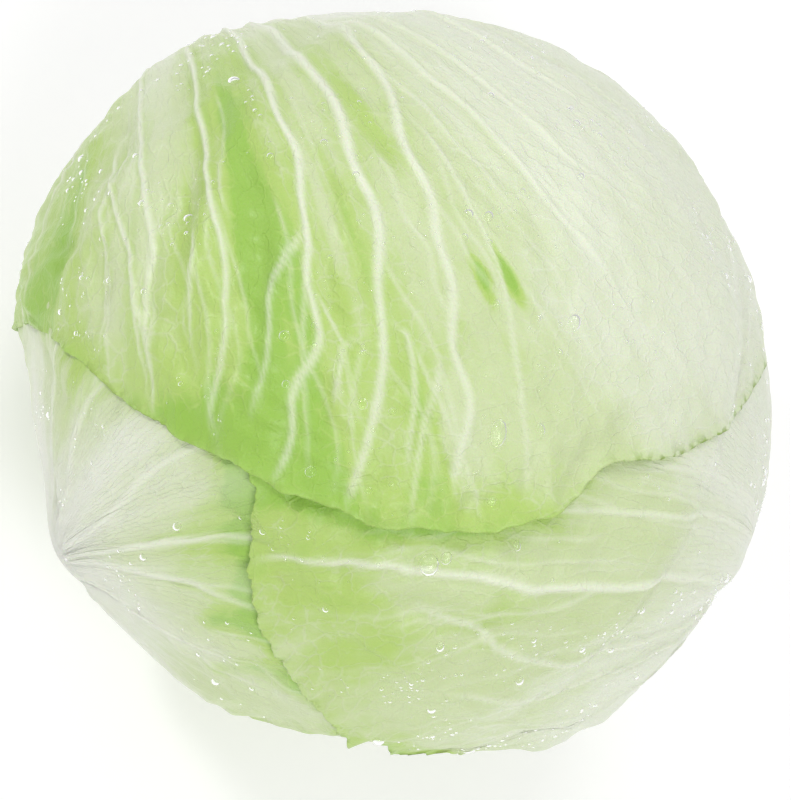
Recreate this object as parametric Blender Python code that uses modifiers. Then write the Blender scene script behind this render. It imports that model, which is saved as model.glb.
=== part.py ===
"""A head of white cabbage standing on its cut stem, in metres, with +Z up through the crown.

Every leaf grows from the stem, runs up one side of the head and folds over the crown. A place on
the head is given by two angles in degrees: the fall, measured from the crown (0 at the crown, 90
round the middle, 180 at the stem), and the bearing, measured round +Z from +X.

A leaf starts as a thin closed dome over the whole head, made from a UV sphere: the sphere's upper
half becomes the dome's outer face and its lower half the inner face. A cone from the middle of the
head then trims it to the leaf's margin. The domes share one lattice of angles and stack outwards
from the heart, each lying on the leaves below it, so none of them meet.
"""

from dataclasses import dataclass

import bmesh
import bpy
import numpy as np

MM = 0.001

# The heart: the tight ball of folded leaves inside.
CENTRE_HEIGHT = 73.5  # mm from the cut face up to the middle of the head
HEART_RADIUS = 77.0  # mm, round the middle
HEART_RISE = 57.0  # mm from the middle up to the crown
HEART_DROP = 58.0  # mm from the middle down to the stem
OVAL = 0.034  # share by which the long side of the head is longer than its mean
LONG_BEARING = 131.0
SHOULDER_POWER = 2.35  # 2 makes an ellipse, and more makes fuller shoulders

# The wrapper leaves.
BLADE = 1.2  # mm thick
GAP = 0.8  # mm between a leaf and what it lies on
STEM_FALL = 164.0  # degrees: where every leaf meets the stem
FOOT = 171.0  # degrees: the outline of a leaf's foot runs past the stem
TURN = -134.0  # degrees of bearing from one leaf to the next one in
DRAPE_START = 12.0  # degrees past a covered margin where the leaf above starts to sink
DRAPE_LENGTH = 16.0
COVER_SPREAD = 12.0  # degrees of bearing to either side: a little more than one facet
COVER_SAMPLES = 9
RIB_HEIGHT = 5.0  # mm that a rib stands out of its leaf
RIB_HALF_WIDTH = 12.0  # mm
RIB_TOP_FALL = 84.0  # degrees: the rib fades into the blade above this
RIB_FULL_FALL = 108.0
SPOKES = 36
RINGS = 14
OUTLINE_SPOKES = 61
OUTLINE_TURN = 1.3  # degrees: keeps the outline's corners off the dome's own edges
OUTLINE_RINGS = 6
OUTLINE_REACH = 140.0  # mm, well outside the head

# The stem, as (radius, height above the cut face) in mm from the cut edge up to its tip.
STEM_CLEARANCE = 0.5
STEM_PROFILE = ((19.6, 1.0), (15.6, 14.5), (14.0, 24.0), (11.0, 42.0), (6.5, 55.0), (2.5, 59.0))
STEM_TIP = 0.8  # mm that the tip rises above the profile's last point
CUT_RADIUS = 18.8
STEM_SEGMENTS = 32


@dataclass(frozen=True)
class Leaf:
    """One wrapper leaf: the bearing of its rib, and its margin as (bearing, fall) points."""

    name: str
    bearing: float
    margin: tuple


@dataclass(frozen=True)
class Paint:
    """A plain surface colour."""

    colour: tuple
    roughness: float = 0.45


# Half of the margin that a hidden leaf has, as (degrees of bearing from the rib, fall).
HIDDEN_HALF = ((44, FOOT), (60, 134), (84, 97), (112, 72), (146, 54), (180, 47))

OUTER_MARGINS = (
    (
        (70, FOOT), (148, FOOT), (158, 140), (170, 104), (178, 82), (189, 67), (203, 60),
        (219, 51), (234, 46), (262, 44), (292, 41), (309, 38), (328, 47), (353, 61), (20, 82),
        (48, 116),
    ),
    (
        (310, FOOT), (22, FOOT), (48, 116), (82, 68), (120, 46), (162, 40), (200, 41), (224, 46),
        (231, 54), (238, 65), (250, 76), (258, 86), (272, 97), (286, 106), (300, 138),
    ),
    (
        (166, FOOT), (226, FOOT), (238, 138), (246, 112), (254, 97), (266, 86), (286, 72),
        (310, 56), (28, 42), (80, 47), (116, 62), (142, 100),
    ),
)


def smooth_step(x):
    """0 below 0, 1 above 1, and an even S between them."""
    x = np.clip(x, 0.0, 1.0)
    return x * x * (3.0 - 2.0 * x)


def between(bearing, middle):
    """Degrees of bearing from middle to bearing, from -180 to 180."""
    return (bearing - middle + 180.0) % 360.0 - 180.0


def hidden_margin(bearing):
    """The margin of a hidden leaf whose rib is at this bearing."""
    left = [(bearing - turn, fall) for turn, fall in HIDDEN_HALF[:-1]]
    right = [(bearing + turn, fall) for turn, fall in HIDDEN_HALF]
    return tuple(left + right)


def wrapper_leaves():
    """The leaves from the innermost one out. leaf_1 is the outermost."""
    leaves = []
    for number in range(7, 0, -1):
        bearing = (116.0 + TURN * (number - 1)) % 360.0
        shown = number <= len(OUTER_MARGINS)
        margin = OUTER_MARGINS[number - 1] if shown else hidden_margin(bearing)
        leaves.append(Leaf(f"leaf_{number}", bearing, margin))
    return leaves


def margin_fall(leaf, bearing):
    """How far from the crown the leaf reaches at each bearing."""
    bearings, falls = zip(*((b % 360.0, f) for b, f in leaf.margin))
    return np.interp(bearing, bearings, falls, period=360.0)


def heart_radius(fall, bearing):
    """Distance in mm from the middle of the head to the heart's surface."""
    across = np.sin(np.radians(fall))
    along = np.cos(np.radians(fall))
    oval = 1.0 + OVAL * np.cos(2.0 * np.radians(bearing - LONG_BEARING))
    height = np.where(along > 0.0, HEART_RISE, HEART_DROP)
    power = np.where(along > 0.0, 2.1, SHOULDER_POWER)
    filled = (across / (HEART_RADIUS * oval)) ** power + (np.abs(along) / height) ** power
    return filled ** (-1.0 / power)


def rib(leaf, fall, bearing):
    """How far the leaf's rib stands out in mm: a ridge down the outside, fading towards the crown."""
    aside = np.radians(between(bearing, leaf.bearing)) * np.sin(np.radians(fall)) * HEART_RADIUS
    rise = smooth_step((fall - RIB_TOP_FALL) / (RIB_FULL_FALL - RIB_TOP_FALL))
    sink = 1.0 - 0.5 * smooth_step((fall - 140.0) / 24.0)
    return RIB_HEIGHT * rise * sink * np.exp(-((aside / RIB_HALF_WIDTH) ** 2))


def covered_fall(leaf, bearing):
    """How far the leaf reaches at each bearing or near it, so that the leaf above clears its corners."""
    near = np.linspace(-COVER_SPREAD, COVER_SPREAD, COVER_SAMPLES)
    return margin_fall(leaf, np.add.outer(near, bearing)).max(axis=0)


def presence(leaf, fall, bearing):
    """1 wherever the leaf is, sinking to 0 a little way past its margin."""
    past = fall - covered_fall(leaf, bearing) - DRAPE_START
    return 1.0 - smooth_step(past / DRAPE_LENGTH)


def stack_radius(below, fall, bearing):
    """Distance in mm from the middle to the top of the heart and the leaves below."""
    radius = heart_radius(fall, bearing)
    for leaf in below:
        radius += presence(leaf, fall, bearing) * (GAP + BLADE + rib(leaf, fall, bearing))
    return radius


def points_at(radius, fall, bearing):
    """Places in metres for a distance from the middle and the two angles."""
    down, round_ = np.radians(fall), np.radians(bearing)
    across = radius * np.sin(down)
    height = CENTRE_HEIGHT + radius * np.cos(down)
    return MM * np.column_stack((across * np.cos(round_), across * np.sin(round_), height))


def sphere(segments, rings):
    """A UV sphere of radius 1, and each vertex's ring number from the top and its bearing."""
    bm = bmesh.new()
    bmesh.ops.create_uvsphere(bm, u_segments=segments, v_segments=rings, radius=1.0)
    places = np.array([vertex.co for vertex in bm.verts])
    ring = np.rint(np.arccos(np.clip(places[:, 2], -1.0, 1.0)) / np.pi * rings)
    bearing = np.degrees(np.arctan2(places[:, 1], places[:, 0])) % 360.0
    return bm, ring, bearing


def split_alike(bm):
    """Splits the quads of both halves along the same way, so that faces stacked over each other nest."""
    lower = {face for face in bm.faces if face.calc_center_median().z < 0.0}
    upper = [face for face in bm.faces if face not in lower]
    bmesh.ops.triangulate(bm, faces=upper, quad_method="FIXED")
    bmesh.ops.triangulate(bm, faces=list(lower), quad_method="ALTERNATE")


def add_object(name, bm, places, paint):
    """Moves the mesh's vertices to their places and adds it to the scene as one smooth object."""
    for vertex, place in zip(bm.verts, places):
        vertex.co = place
    mesh = bpy.data.meshes.new(name)
    bm.to_mesh(mesh)
    bm.free()
    mesh.shade_smooth()
    mesh.materials.append(material(name, paint))
    made = bpy.data.objects.new(name, mesh)
    bpy.data.collections["cabbage_head"].objects.link(made)
    return made


def material(name, paint):
    """A Principled material of one colour."""
    made = bpy.data.materials.new(name)
    made.use_nodes = True
    shader = made.node_tree.nodes["Principled BSDF"]
    shader.inputs["Base Color"].default_value = (*paint.colour, 1.0)
    shader.inputs["Roughness"].default_value = paint.roughness
    shader.inputs["Metallic"].default_value = 0.0
    return made


def add_leaf(leaf, below, paint):
    """A leaf: a dome over the leaves below, trimmed to its margin."""
    bm, ring, bearing = sphere(SPOKES, 2 * RINGS + 1)
    split_alike(bm)
    outside = ring <= RINGS
    fall = np.where(outside, ring, 2 * RINGS + 1 - ring) * STEM_FALL / RINGS
    radius = stack_radius(below, fall, bearing) + GAP
    radius += np.where(outside, BLADE + rib(leaf, fall, bearing), 0.0)
    dome = add_object(leaf.name, bm, points_at(radius, fall, bearing), paint)
    trim(dome, "INTERSECT", add_outline(leaf, paint))


def add_outline(leaf, paint):
    """A cone from the middle of the head that holds all the leaf: its edge is the leaf's margin."""
    bm, ring, bearing = sphere(OUTLINE_SPOKES, OUTLINE_RINGS + 1)
    bearing += OUTLINE_TURN
    fall = np.minimum(ring / OUTLINE_RINGS, 1.0) * margin_fall(leaf, bearing)
    radius = np.where(ring <= OUTLINE_RINGS, OUTLINE_REACH, 0.0)
    return add_object(f"{leaf.name}_outline", bm, points_at(radius, fall, bearing), paint)


def trim(target, operation, cutter):
    """Joins or cuts the target with the cutter, which isn't rendered."""
    cutter.hide_render = True
    cutter.hide_set(True)
    cut = target.modifiers.new(cutter.name, "BOOLEAN")
    cut.operation = operation
    cut.solver = "EXACT"
    cut.object = cutter


def add_heart(paint):
    """The heart, with the pocket that the stem's core fills."""
    rings = RINGS + 2
    bm, ring, bearing = sphere(SPOKES, rings)
    bmesh.ops.triangulate(bm, faces=bm.faces, quad_method="FIXED")
    fall = np.interp(ring, (0, RINGS, rings), (0.0, STEM_FALL, 180.0))
    radius = heart_radius(fall, bearing)
    heart = add_object("heart", bm, points_at(radius, fall, bearing), paint)
    trim(heart, "DIFFERENCE", add_stem("core_pocket", STEM_CLEARANCE, paint))


def add_stem(name, clearance, paint):
    """The stem and its core: a profile turned round Z, grown on all sides by the clearance."""
    sides = [(radius + clearance, height) for radius, height in reversed(STEM_PROFILE)]
    top = STEM_PROFILE[-1][1] + STEM_TIP + clearance
    outline = [(0.0, top), *sides, (CUT_RADIUS + clearance, -clearance), (0.0, -clearance)]
    bm = bmesh.new()
    corners = [bm.verts.new((radius * MM, 0.0, height * MM)) for radius, height in outline]
    for first, second in zip(corners, corners[1:]):
        bm.edges.new((first, second))
    stem = add_object(name, bm, [corner.co.copy() for corner in corners], paint)
    turned = stem.modifiers.new("turn", "SCREW")
    turned.axis = "Z"
    turned.steps = turned.render_steps = STEM_SEGMENTS
    turned.use_merge_vertices = True
    turned.merge_threshold = 0.0001
    return stem


def clear_scene():
    """Removes whatever the scene holds, and adds the collection for the cabbage."""
    for old in list(bpy.data.objects):
        bpy.data.objects.remove(old, do_unlink=True)
    bpy.context.scene.collection.children.link(bpy.data.collections.new("cabbage_head"))


def main():
    """Builds the stem, the heart and the leaves from the inside out."""
    clear_scene()
    add_stem("stem", 0.0, Paint((0.86, 0.88, 0.72), 0.6))
    add_heart(Paint((0.84, 0.88, 0.66)))
    leaves = wrapper_leaves()
    for index, leaf in enumerate(leaves):
        depth = (len(leaves) - 1 - index) / (len(leaves) - 1)
        colour = (0.52 + 0.26 * depth, 0.70 + 0.14 * depth, 0.30 + 0.28 * depth)
        add_leaf(leaf, leaves[:index], Paint(colour))


if __name__ == "__main__":
    main()
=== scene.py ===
"""A head of white cabbage, wet with drops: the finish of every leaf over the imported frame.

A place on the head is given by two angles in degrees: the fall, from the crown (0) down to the stem
(180), and the bearing, round +Z from +X. Laid flat, the fall is a distance from the crown, which
makes a round chart of the whole head. On that chart a leaf is a fan: from the top of its rib, its
hub, every vein runs outwards, so a place on a leaf is a turn in degrees from the way over the crown,
and a share of the way from the hub to the margin.
"""

import logging
import math
from dataclasses import dataclass, field
from enum import Enum

import bpy
import numpy as np
from mathutils import Matrix, Vector


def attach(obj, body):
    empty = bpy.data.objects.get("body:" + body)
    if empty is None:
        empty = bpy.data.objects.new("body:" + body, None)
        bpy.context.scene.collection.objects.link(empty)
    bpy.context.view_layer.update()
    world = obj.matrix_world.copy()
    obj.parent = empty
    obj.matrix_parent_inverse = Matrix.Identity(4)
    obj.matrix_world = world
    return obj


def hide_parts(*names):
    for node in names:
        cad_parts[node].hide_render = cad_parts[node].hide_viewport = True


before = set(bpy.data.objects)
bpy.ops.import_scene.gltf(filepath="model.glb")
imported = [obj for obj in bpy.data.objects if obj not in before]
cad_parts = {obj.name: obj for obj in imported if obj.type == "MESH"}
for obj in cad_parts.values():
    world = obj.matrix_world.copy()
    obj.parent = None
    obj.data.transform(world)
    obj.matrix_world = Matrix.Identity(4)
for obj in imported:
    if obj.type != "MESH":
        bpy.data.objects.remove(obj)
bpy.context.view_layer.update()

MM = 0.001
BODY = "root"
log = logging.getLogger("cabbage")

Numbers = np.ndarray
Point = tuple[float, float]
Colour = tuple[float, float, float, float]


def smooth_step(x: Numbers) -> Numbers:
    """0 below 0, 1 above 1, and an even S between them.

    Args:
        x: Any numbers.

    Returns:
        x squared times (3 - 2x), with x held between 0 and 1.
    """
    x = np.clip(x, 0.0, 1.0)
    return x * x * (3.0 - 2.0 * x)


def turn_between(angle: Numbers, middle: float) -> Numbers:
    """Degrees from the middle angle to each angle, from -180 to 180."""
    return (angle - middle + 180.0) % 360.0 - 180.0


def waves(x: Numbers, y: Numbers, length: float, seed: int, count: int = 14) -> Numbers:
    """Gentle unevenness over a surface.

    The formula is a sum of sine waves that run in random directions, each about the given length,
    divided by the square root of half their number, so that it mostly lies between -2 and 2.

    Args:
        x: First coordinate of each place.
        y: Second coordinate of each place.
        length: Length of a wave, in the coordinates' unit.
        seed: Picks the waves.
        count: How many waves are added.

    Returns:
        One height for each place, with a mean near 0.
    """
    draw = np.random.default_rng(seed)
    total = np.zeros(np.broadcast(x, y).shape)
    for way, start, scale in zip(
        draw.uniform(0.0, math.tau, count), draw.uniform(0.0, math.tau, count), draw.uniform(0.6, 1.7, count)
    ):
        step = math.tau / (length * scale)
        total += np.sin(step * (x * math.cos(way) + y * math.sin(way)) + start)
    return total / math.sqrt(count / 2.0)


class Layer(Enum):
    """Where a leaf lies in the head, with the spokes and the rings of its grid."""

    OUTER = (772, 116)
    INNER = (420, 62)


@dataclass(frozen=True)
class HeadForm:
    """The form that the leaves are folded round. Lengths are in millimetres.

    Attributes:
        middle_height: From the cut face up to the middle of the head.
        radius: The heart's mean radius round the middle.
        rise: From the middle up to the heart's top.
        drop: From the middle down to the heart's foot.
        oval: Share by which the heart's long side is longer than the mean.
        long_bearing: Bearing of the long side.
        upper_power: How square the heart is above its middle. 2 is an oval.
        lower_power: How square it is below.
        gap: Between a leaf and what it lies on.
        blade: Thickness of a leaf.
    """

    middle_height: float = 73.5
    radius: float = 77.0
    rise: float = 57.0
    drop: float = 58.0
    oval: float = 0.034
    long_bearing: float = 131.0
    upper_power: float = 2.1
    lower_power: float = 2.35
    gap: float = 0.8
    blade: float = 1.2

    def heart(self, fall: Numbers, bearing: Numbers) -> Numbers:
        """The heart's surface.

        The formula is a superellipse in the upright plane of each bearing, whose width follows the
        oval: (across / width) to a power plus (along / height) to the same power is 1.

        Args:
            fall: Degrees from the crown.
            bearing: Degrees round the head.

        Returns:
            The distance from the middle of the head in millimetres.
        """
        across = np.sin(np.radians(fall))
        along = np.cos(np.radians(fall))
        width = self.radius * (1.0 + self.oval * np.cos(2.0 * np.radians(bearing - self.long_bearing)))
        height = np.where(along > 0.0, self.rise, self.drop)
        power = np.where(along > 0.0, self.upper_power, self.lower_power)
        return ((across / width) ** power + (np.abs(along) / height) ** power) ** (-1.0 / power)

    def place(self, radius: Numbers, fall: Numbers, bearing: Numbers) -> Numbers:
        """Places in metres at a distance in millimetres from the middle, along the two angles.

        Args:
            radius: Millimetres from the middle of the head.
            fall: Degrees from the crown.
            bearing: Degrees round the head.

        Returns:
            The places, with x, y and z along the last axis.
        """
        down, round_ = np.radians(fall), np.radians(bearing)
        across = radius * np.sin(down)
        height = self.middle_height + radius * np.cos(down)
        return MM * np.stack((across * np.cos(round_), across * np.sin(round_), height), axis=-1)


FORM = HeadForm()


@dataclass(frozen=True)
class Vein:
    """One vein, a soft ridge along a path of (share, turn) points.

    Attributes:
        path: Where it runs, from its root out.
        width: Half its width at the root, in millimetres.
        height: How far it stands out at the root, in millimetres.
        kink: How far it wanders from its path, in degrees of turn.
        tip: Share of its width and height that is left at its end.
    """

    path: tuple[Point, ...]
    width: float = 1.1
    height: float = 0.75
    kink: float = 0.25
    tip: float = 0.35

    def turn_at(self, share: Numbers) -> Numbers:
        """The vein's turn at each share: straight stretches between its points, with small kinks.

        Args:
            share: Share of the way from the hub to the margin.

        Returns:
            Degrees from the way over the crown.
        """
        shares, turns = zip(*self.path)
        # Each vein wanders in its own way, set by where it starts.
        seed = int(abs(turns[0]) * 97.0 + shares[0] * 1009.0)
        wander = waves(share * 100.0, np.zeros_like(share), 16.0, seed, 5)
        return np.interp(share, shares, turns) + self.kink * wander

    def fade_at(self, share: Numbers) -> Numbers:
        """1 at the root, sinking to tip at the end, and 0 beyond both.

        Args:
            share: Share of the way from the hub to the margin.

        Returns:
            How much of the vein is there.
        """
        first, last = self.path[0][0], self.path[-1][0]
        along = np.clip((share - first) / (last - first), 0.0, 1.0)
        ends = smooth_step((share - first) / 0.04) * smooth_step((last + 0.02 - share) / 0.05)
        return (1.0 - (1.0 - self.tip) * along) * ends


@dataclass(frozen=True)
class Crease:
    """A sharp-crested fold along a path of (share, turn) points, where the leaf bends over an edge.

    Attributes:
        path: Where it runs.
        height: How far its crest stands out, in millimetres.
        reach: How far it takes to die away on either side, in millimetres.
    """

    path: tuple[Point, ...]
    height: float = 1.0
    reach: float = 7.0


@dataclass(frozen=True)
class Patch:
    """A greener patch of a leaf: an oval that fades outwards.

    Attributes:
        share: Share of its middle.
        turn: Turn of its middle.
        along: Half its length, as a share.
        across: Half its width, in degrees of turn.
        amount: How much greener its middle is. Below 0 it is paler.
    """

    share: float
    turn: float
    along: float
    across: float
    amount: float

    def over(self, share: Numbers, turn: Numbers) -> Numbers:
        """The patch's amount at each place: amount times exp(-(distance in half sizes) squared)."""
        along, across = (share - self.share) / self.along, turn_between(turn, self.turn) / self.across
        return self.amount * np.exp(-(along**2) - across**2)


@dataclass
class Surface:
    """What is known at every grid place of a leaf's outside, as arrays of rings by spokes.

    Attributes:
        share: Share of the way from the hub to the margin.
        turn: Degrees from the way over the crown.
        fall: Degrees from the crown.
        bearing: Degrees round the head.
        radius: Millimetres from the middle of the head.
        from_margin: Millimetres from the margin.
        traits: The named values that the finish reads.
    """

    share: Numbers
    turn: Numbers
    fall: Numbers
    bearing: Numbers
    radius: Numbers
    from_margin: Numbers
    traits: dict[str, Numbers] = field(default_factory=dict)

    def points(self) -> Numbers:
        """The places in metres."""
        return FORM.place(self.radius, self.fall, self.bearing)

    def normals(self) -> Numbers:
        """The outward direction at each place: the cross product of the grid's two ways.

        Returns:
            Directions of length 1.
        """
        points = self.points()
        normal = np.cross(np.gradient(points, axis=0), np.gradient(points, axis=1))
        normal /= np.linalg.norm(normal, axis=-1, keepdims=True) + 1e-12
        outward = points - np.array([0.0, 0.0, FORM.middle_height * MM])
        return normal * np.sign((normal * outward).sum(axis=-1, keepdims=True))


@dataclass
class Leaf:
    """One wrapper leaf.

    Attributes:
        number: 1 for the outermost leaf, and so on inwards.
        bearing: Bearing of its rib.
        outline: Its margin as (bearing, fall) points, from one end of its foot round to the other.
        below: The leaves that it lies on.
        veins: Its own veins. More are grown between them.
        creases: Its folds.
        green: How green it is, as (turn, amount) points.
        layer: How finely it is made.
        ragged: How far its margin wanders, in degrees of fall.
        lift: How far its margin stands off what it lies on, as (turn, millimetres) points.
        patches: Its greener patches.
        border: How green its margin is, as (turn, amount) points.
        torn: How brown and torn its edge is, as (turn, amount) points.
        cast_shade: How much painted shade its edge lays on the leaf under it, as (bearing, amount) points.
        bloom: Where the green begins and how far it takes to come in, in millimetres from the hub.
    """

    number: int
    bearing: float
    outline: tuple[Point, ...]
    below: list["Leaf"]
    veins: tuple[Vein, ...] = ()
    creases: tuple[Crease, ...] = ()
    green: tuple[Point, ...] = ((-90.0, 0.25), (90.0, 0.25))
    layer: Layer = Layer.INNER
    ragged: float = 1.0
    lift: tuple[Point, ...] = ((-180.0, 0.3), (180.0, 0.3))
    patches: tuple[Patch, ...] = ()
    border: tuple[Point, ...] = ((-180.0, 0.15), (180.0, 0.15))
    torn: tuple[Point, ...] = ((-180.0, 0.3), (180.0, 0.3))
    cast_shade: tuple[Point, ...] = ((0.0, 0.3), (180.0, 0.3))
    bloom: Point = (18.0, 95.0)
    above: list["Leaf"] = field(default_factory=list)

    # Degrees of fall.
    HUB_FALL = 108.0
    STEM_FALL = 164.0
    RAGS_END = 150.0
    RAGS_FADE = 25.0
    COVER_END = 1.0  # past the margin, where leaves above begin to sink
    COVER_FADE = 7.0
    RIB_START = 84.0
    RIB_SINK = 140.0
    RIB_BLEND = 24.0
    # Millimetres.
    RIB_HEIGHT = 5.0
    RIB_HALF_WIDTH = 12.0
    THIN_REACH = 16.0  # in from the margin, where the leaf gets thinner
    RIM_REACH = 7.0  # in from the margin, which lifts and ruffles
    BORDER_REACH = 6.0
    EDGE_REACH = 1.1
    LEAST_WIDTH = 0.5  # of the finest vein
    WHITE_REACH = 42.0  # from the hub
    # Painted shade beside the edge of a leaf above: the reaches of its thin dark line and of its broader
    # darkening.
    SHADE_LINE_REACH = 1.3  # of the painted shade line beside the edge above
    SHADE_BROAD_REACH = 5.0
    # Shares.
    THIN = 0.55  # of its thickness that a leaf keeps at its margin
    TROUGH_DEPTH = 0.3  # of a vein's height
    TROUGH_REACH = 3.4  # of a vein's width
    SLANT_SWELL = 0.3  # of a vein's width, where it slants by 45 degrees
    BRANCH_START = 0.3
    INSIDE = (0.999, 0.985, 0.93, 0.8, 0.5, 0.2)  # of the rings inside

    def __post_init__(self) -> None:
        """Works out the hub, the leaf's way over the crown, and the margin as a fan round the hub."""
        self.hub = self.chart(self.bearing, self.HUB_FALL)
        self.ahead = -self.hub / np.linalg.norm(self.hub)
        self.aside = np.array([-self.ahead[1], self.ahead[0]])
        bearings, falls = (np.array(column, float) for column in zip(*self.outline))
        self.margin_bearings, self.margin_falls = bearings, falls
        fine = np.linspace(bearings[0], bearings[0] + 360.0, 2400, endpoint=False)
        fall = self.torn_margin(fine)
        away = self.chart(fine, fall) - self.hub
        turns = np.degrees(np.arctan2(away @ self.aside, away @ self.ahead))
        order = np.argsort(turns)
        self.fan_turns, self.fan_reach = turns[order], np.hypot(*away.T)[order]

    @staticmethod
    def chart(bearing: Numbers, fall: Numbers) -> Numbers:
        """Places on the round chart of the head: the fall is the distance from the crown."""
        angle = np.radians(bearing)
        return np.stack((fall * np.cos(angle), fall * np.sin(angle)), axis=-1)

    def margin(self, bearing: Numbers) -> Numbers:
        """The fall at which the leaf ends at each bearing: its outline, with its corners rounded.

        The formula is the mean of the straight-sided outline over a few degrees of bearing.

        Args:
            bearing: Degrees round the head.

        Returns:
            The fall in degrees.
        """
        near = (-4.5, -3.0, -1.5, 0.0, 1.5, 3.0, 4.5)
        falls = [
            np.interp(bearing + step, self.margin_bearings, self.margin_falls, period=360.0) for step in near
        ]
        return np.mean(falls, axis=0)

    def torn_margin(self, bearing: Numbers) -> Numbers:
        """The margin with its raggedness, held above the stem."""
        fall = np.minimum(self.margin(bearing), self.STEM_FALL)
        share = smooth_step((self.RAGS_END - fall) / self.RAGS_FADE)
        return fall + self.ragged * share * self.rags(bearing, fall)

    def rags(self, bearing: Numbers, fall: Numbers) -> Numbers:
        """Unevenness of the margin: long waves, short waves, and small sharp notches.

        Args:
            bearing: Degrees round the head.
            fall: Fall of the smooth margin.

        Returns:
            Degrees of fall to add where the leaf is as ragged as 1.
        """
        angle = np.radians(bearing)
        x, y = fall * np.cos(angle), fall * np.sin(angle)
        long_, short = waves(x, y, 21.0, self.number), waves(x, y, 6.0, 50 + self.number)
        notch = np.abs(waves(x, y, 3.0, 90 + self.number))
        return 0.55 * long_ + 0.2 * short - 0.25 * notch

    def presence(self, fall: Numbers, bearing: Numbers) -> Numbers:
        """1 where the leaf is, sinking to 0 over a few degrees past its margin."""
        return 1.0 - smooth_step((fall - self.margin(bearing) - self.COVER_END) / self.COVER_FADE)

    def rib(self, fall: Numbers, bearing: Numbers) -> Numbers:
        """How far the rib stands out in millimetres: a ridge that fades into the blade near the hub.

        Args:
            fall: Degrees from the crown.
            bearing: Degrees round the head.

        Returns:
            Millimetres, largest in the middle of the rib.
        """
        across = np.radians(turn_between(bearing, self.bearing)) * np.sin(np.radians(fall)) * FORM.radius
        rise = smooth_step((fall - self.RIB_START) / self.RIB_BLEND)
        sink = 1.0 - 0.5 * smooth_step((fall - self.RIB_SINK) / self.RIB_BLEND)
        return self.RIB_HEIGHT * rise * sink * np.exp(-((across / self.RIB_HALF_WIDTH) ** 2))

    def bed(self, fall: Numbers, bearing: Numbers) -> Numbers:
        """What the leaf lies on: the heart, and every leaf below with its rib, in millimetres.

        Args:
            fall: Degrees from the crown.
            bearing: Degrees round the head.

        Returns:
            The distance from the middle of the head.
        """
        radius = FORM.heart(fall, bearing)
        for leaf in self.below:
            radius = radius + leaf.presence(fall, bearing) * (
                FORM.gap + FORM.blade + leaf.rib(fall, bearing)
            )
        return radius

    def fan(self, share: Numbers, turn: Numbers) -> tuple[Numbers, Numbers]:
        """The fall and bearing of places on the leaf.

        Args:
            share: Share of the way from the hub to the margin.
            turn: Degrees from the way over the crown.

        Returns:
            The fall and the bearing, in degrees.
        """
        reach = share * np.interp(turn, self.fan_turns, self.fan_reach, period=360.0)
        angle = np.radians(turn)
        x = self.hub[0] + reach * (np.cos(angle) * self.ahead[0] + np.sin(angle) * self.aside[0])
        y = self.hub[1] + reach * (np.cos(angle) * self.ahead[1] + np.sin(angle) * self.aside[1])
        return np.hypot(x, y), np.degrees(np.arctan2(y, x)) % 360.0

    def spokes(self) -> Numbers:
        """The turns of the grid's spokes, spread so that the margin is cut into even lengths.

        The formula runs along the margin from turn -180 to 180, adds up its length in millimetres,
        and reads the turns at equal steps of that length.

        Returns:
            The turns in degrees.
        """
        count = self.layer.value[0]
        turns = np.linspace(-180.0, 180.0, 2881)
        fall, bearing = self.fan(np.ones_like(turns), turns)
        edge = FORM.place(np.full_like(fall, FORM.radius), fall, bearing)
        steps = np.linalg.norm(np.diff(edge, axis=0), axis=1) / MM + 0.02
        length = np.concatenate(([0.0], np.cumsum(steps)))
        return np.interp(np.linspace(0.0, length[-1], count, endpoint=False), length, turns)

    def rings(self) -> Numbers:
        """The shares of the grid's rings, closer together towards the margin.

        Returns:
            Shares from just over 0 up to 1.
        """
        count = self.layer.value[1]
        steps = np.arange(1, count + 1) / count
        return 1.0 - (1.0 - steps) ** 1.3

    def surface(self) -> Surface:
        """The leaf's outside: its bed, its own thickness, and all its relief.

        Returns:
            The outside, with its traits filled in.
        """
        share, turn = (grid.T for grid in np.meshgrid(self.rings(), self.spokes()))
        fall, bearing = self.fan(share, turn)
        bed = self.bed(fall, bearing)
        flat = FORM.place(bed, fall, bearing)
        across = self.spacing(flat, turn, axis=1)
        along = self.spacing(flat, share, axis=0)
        from_margin = (1.0 - share) * along
        made = Surface(share, turn, fall, bearing, bed, from_margin)
        whole = self.THIN + (1.0 - self.THIN) * smooth_step(from_margin / self.THIN_REACH)
        made.radius = bed + (FORM.gap + FORM.blade) * whole + self.rib(fall, bearing)
        made.radius += self.relief(made, across, along)
        return made

    @staticmethod
    def spacing(points: Numbers, coordinate: Numbers, axis: int) -> Numbers:
        """Millimetres of surface for one step of a grid coordinate."""
        step = np.linalg.norm(np.gradient(points, axis=axis), axis=-1) / MM
        return step / np.maximum(np.abs(np.gradient(coordinate, axis=axis)), 1e-9)

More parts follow.
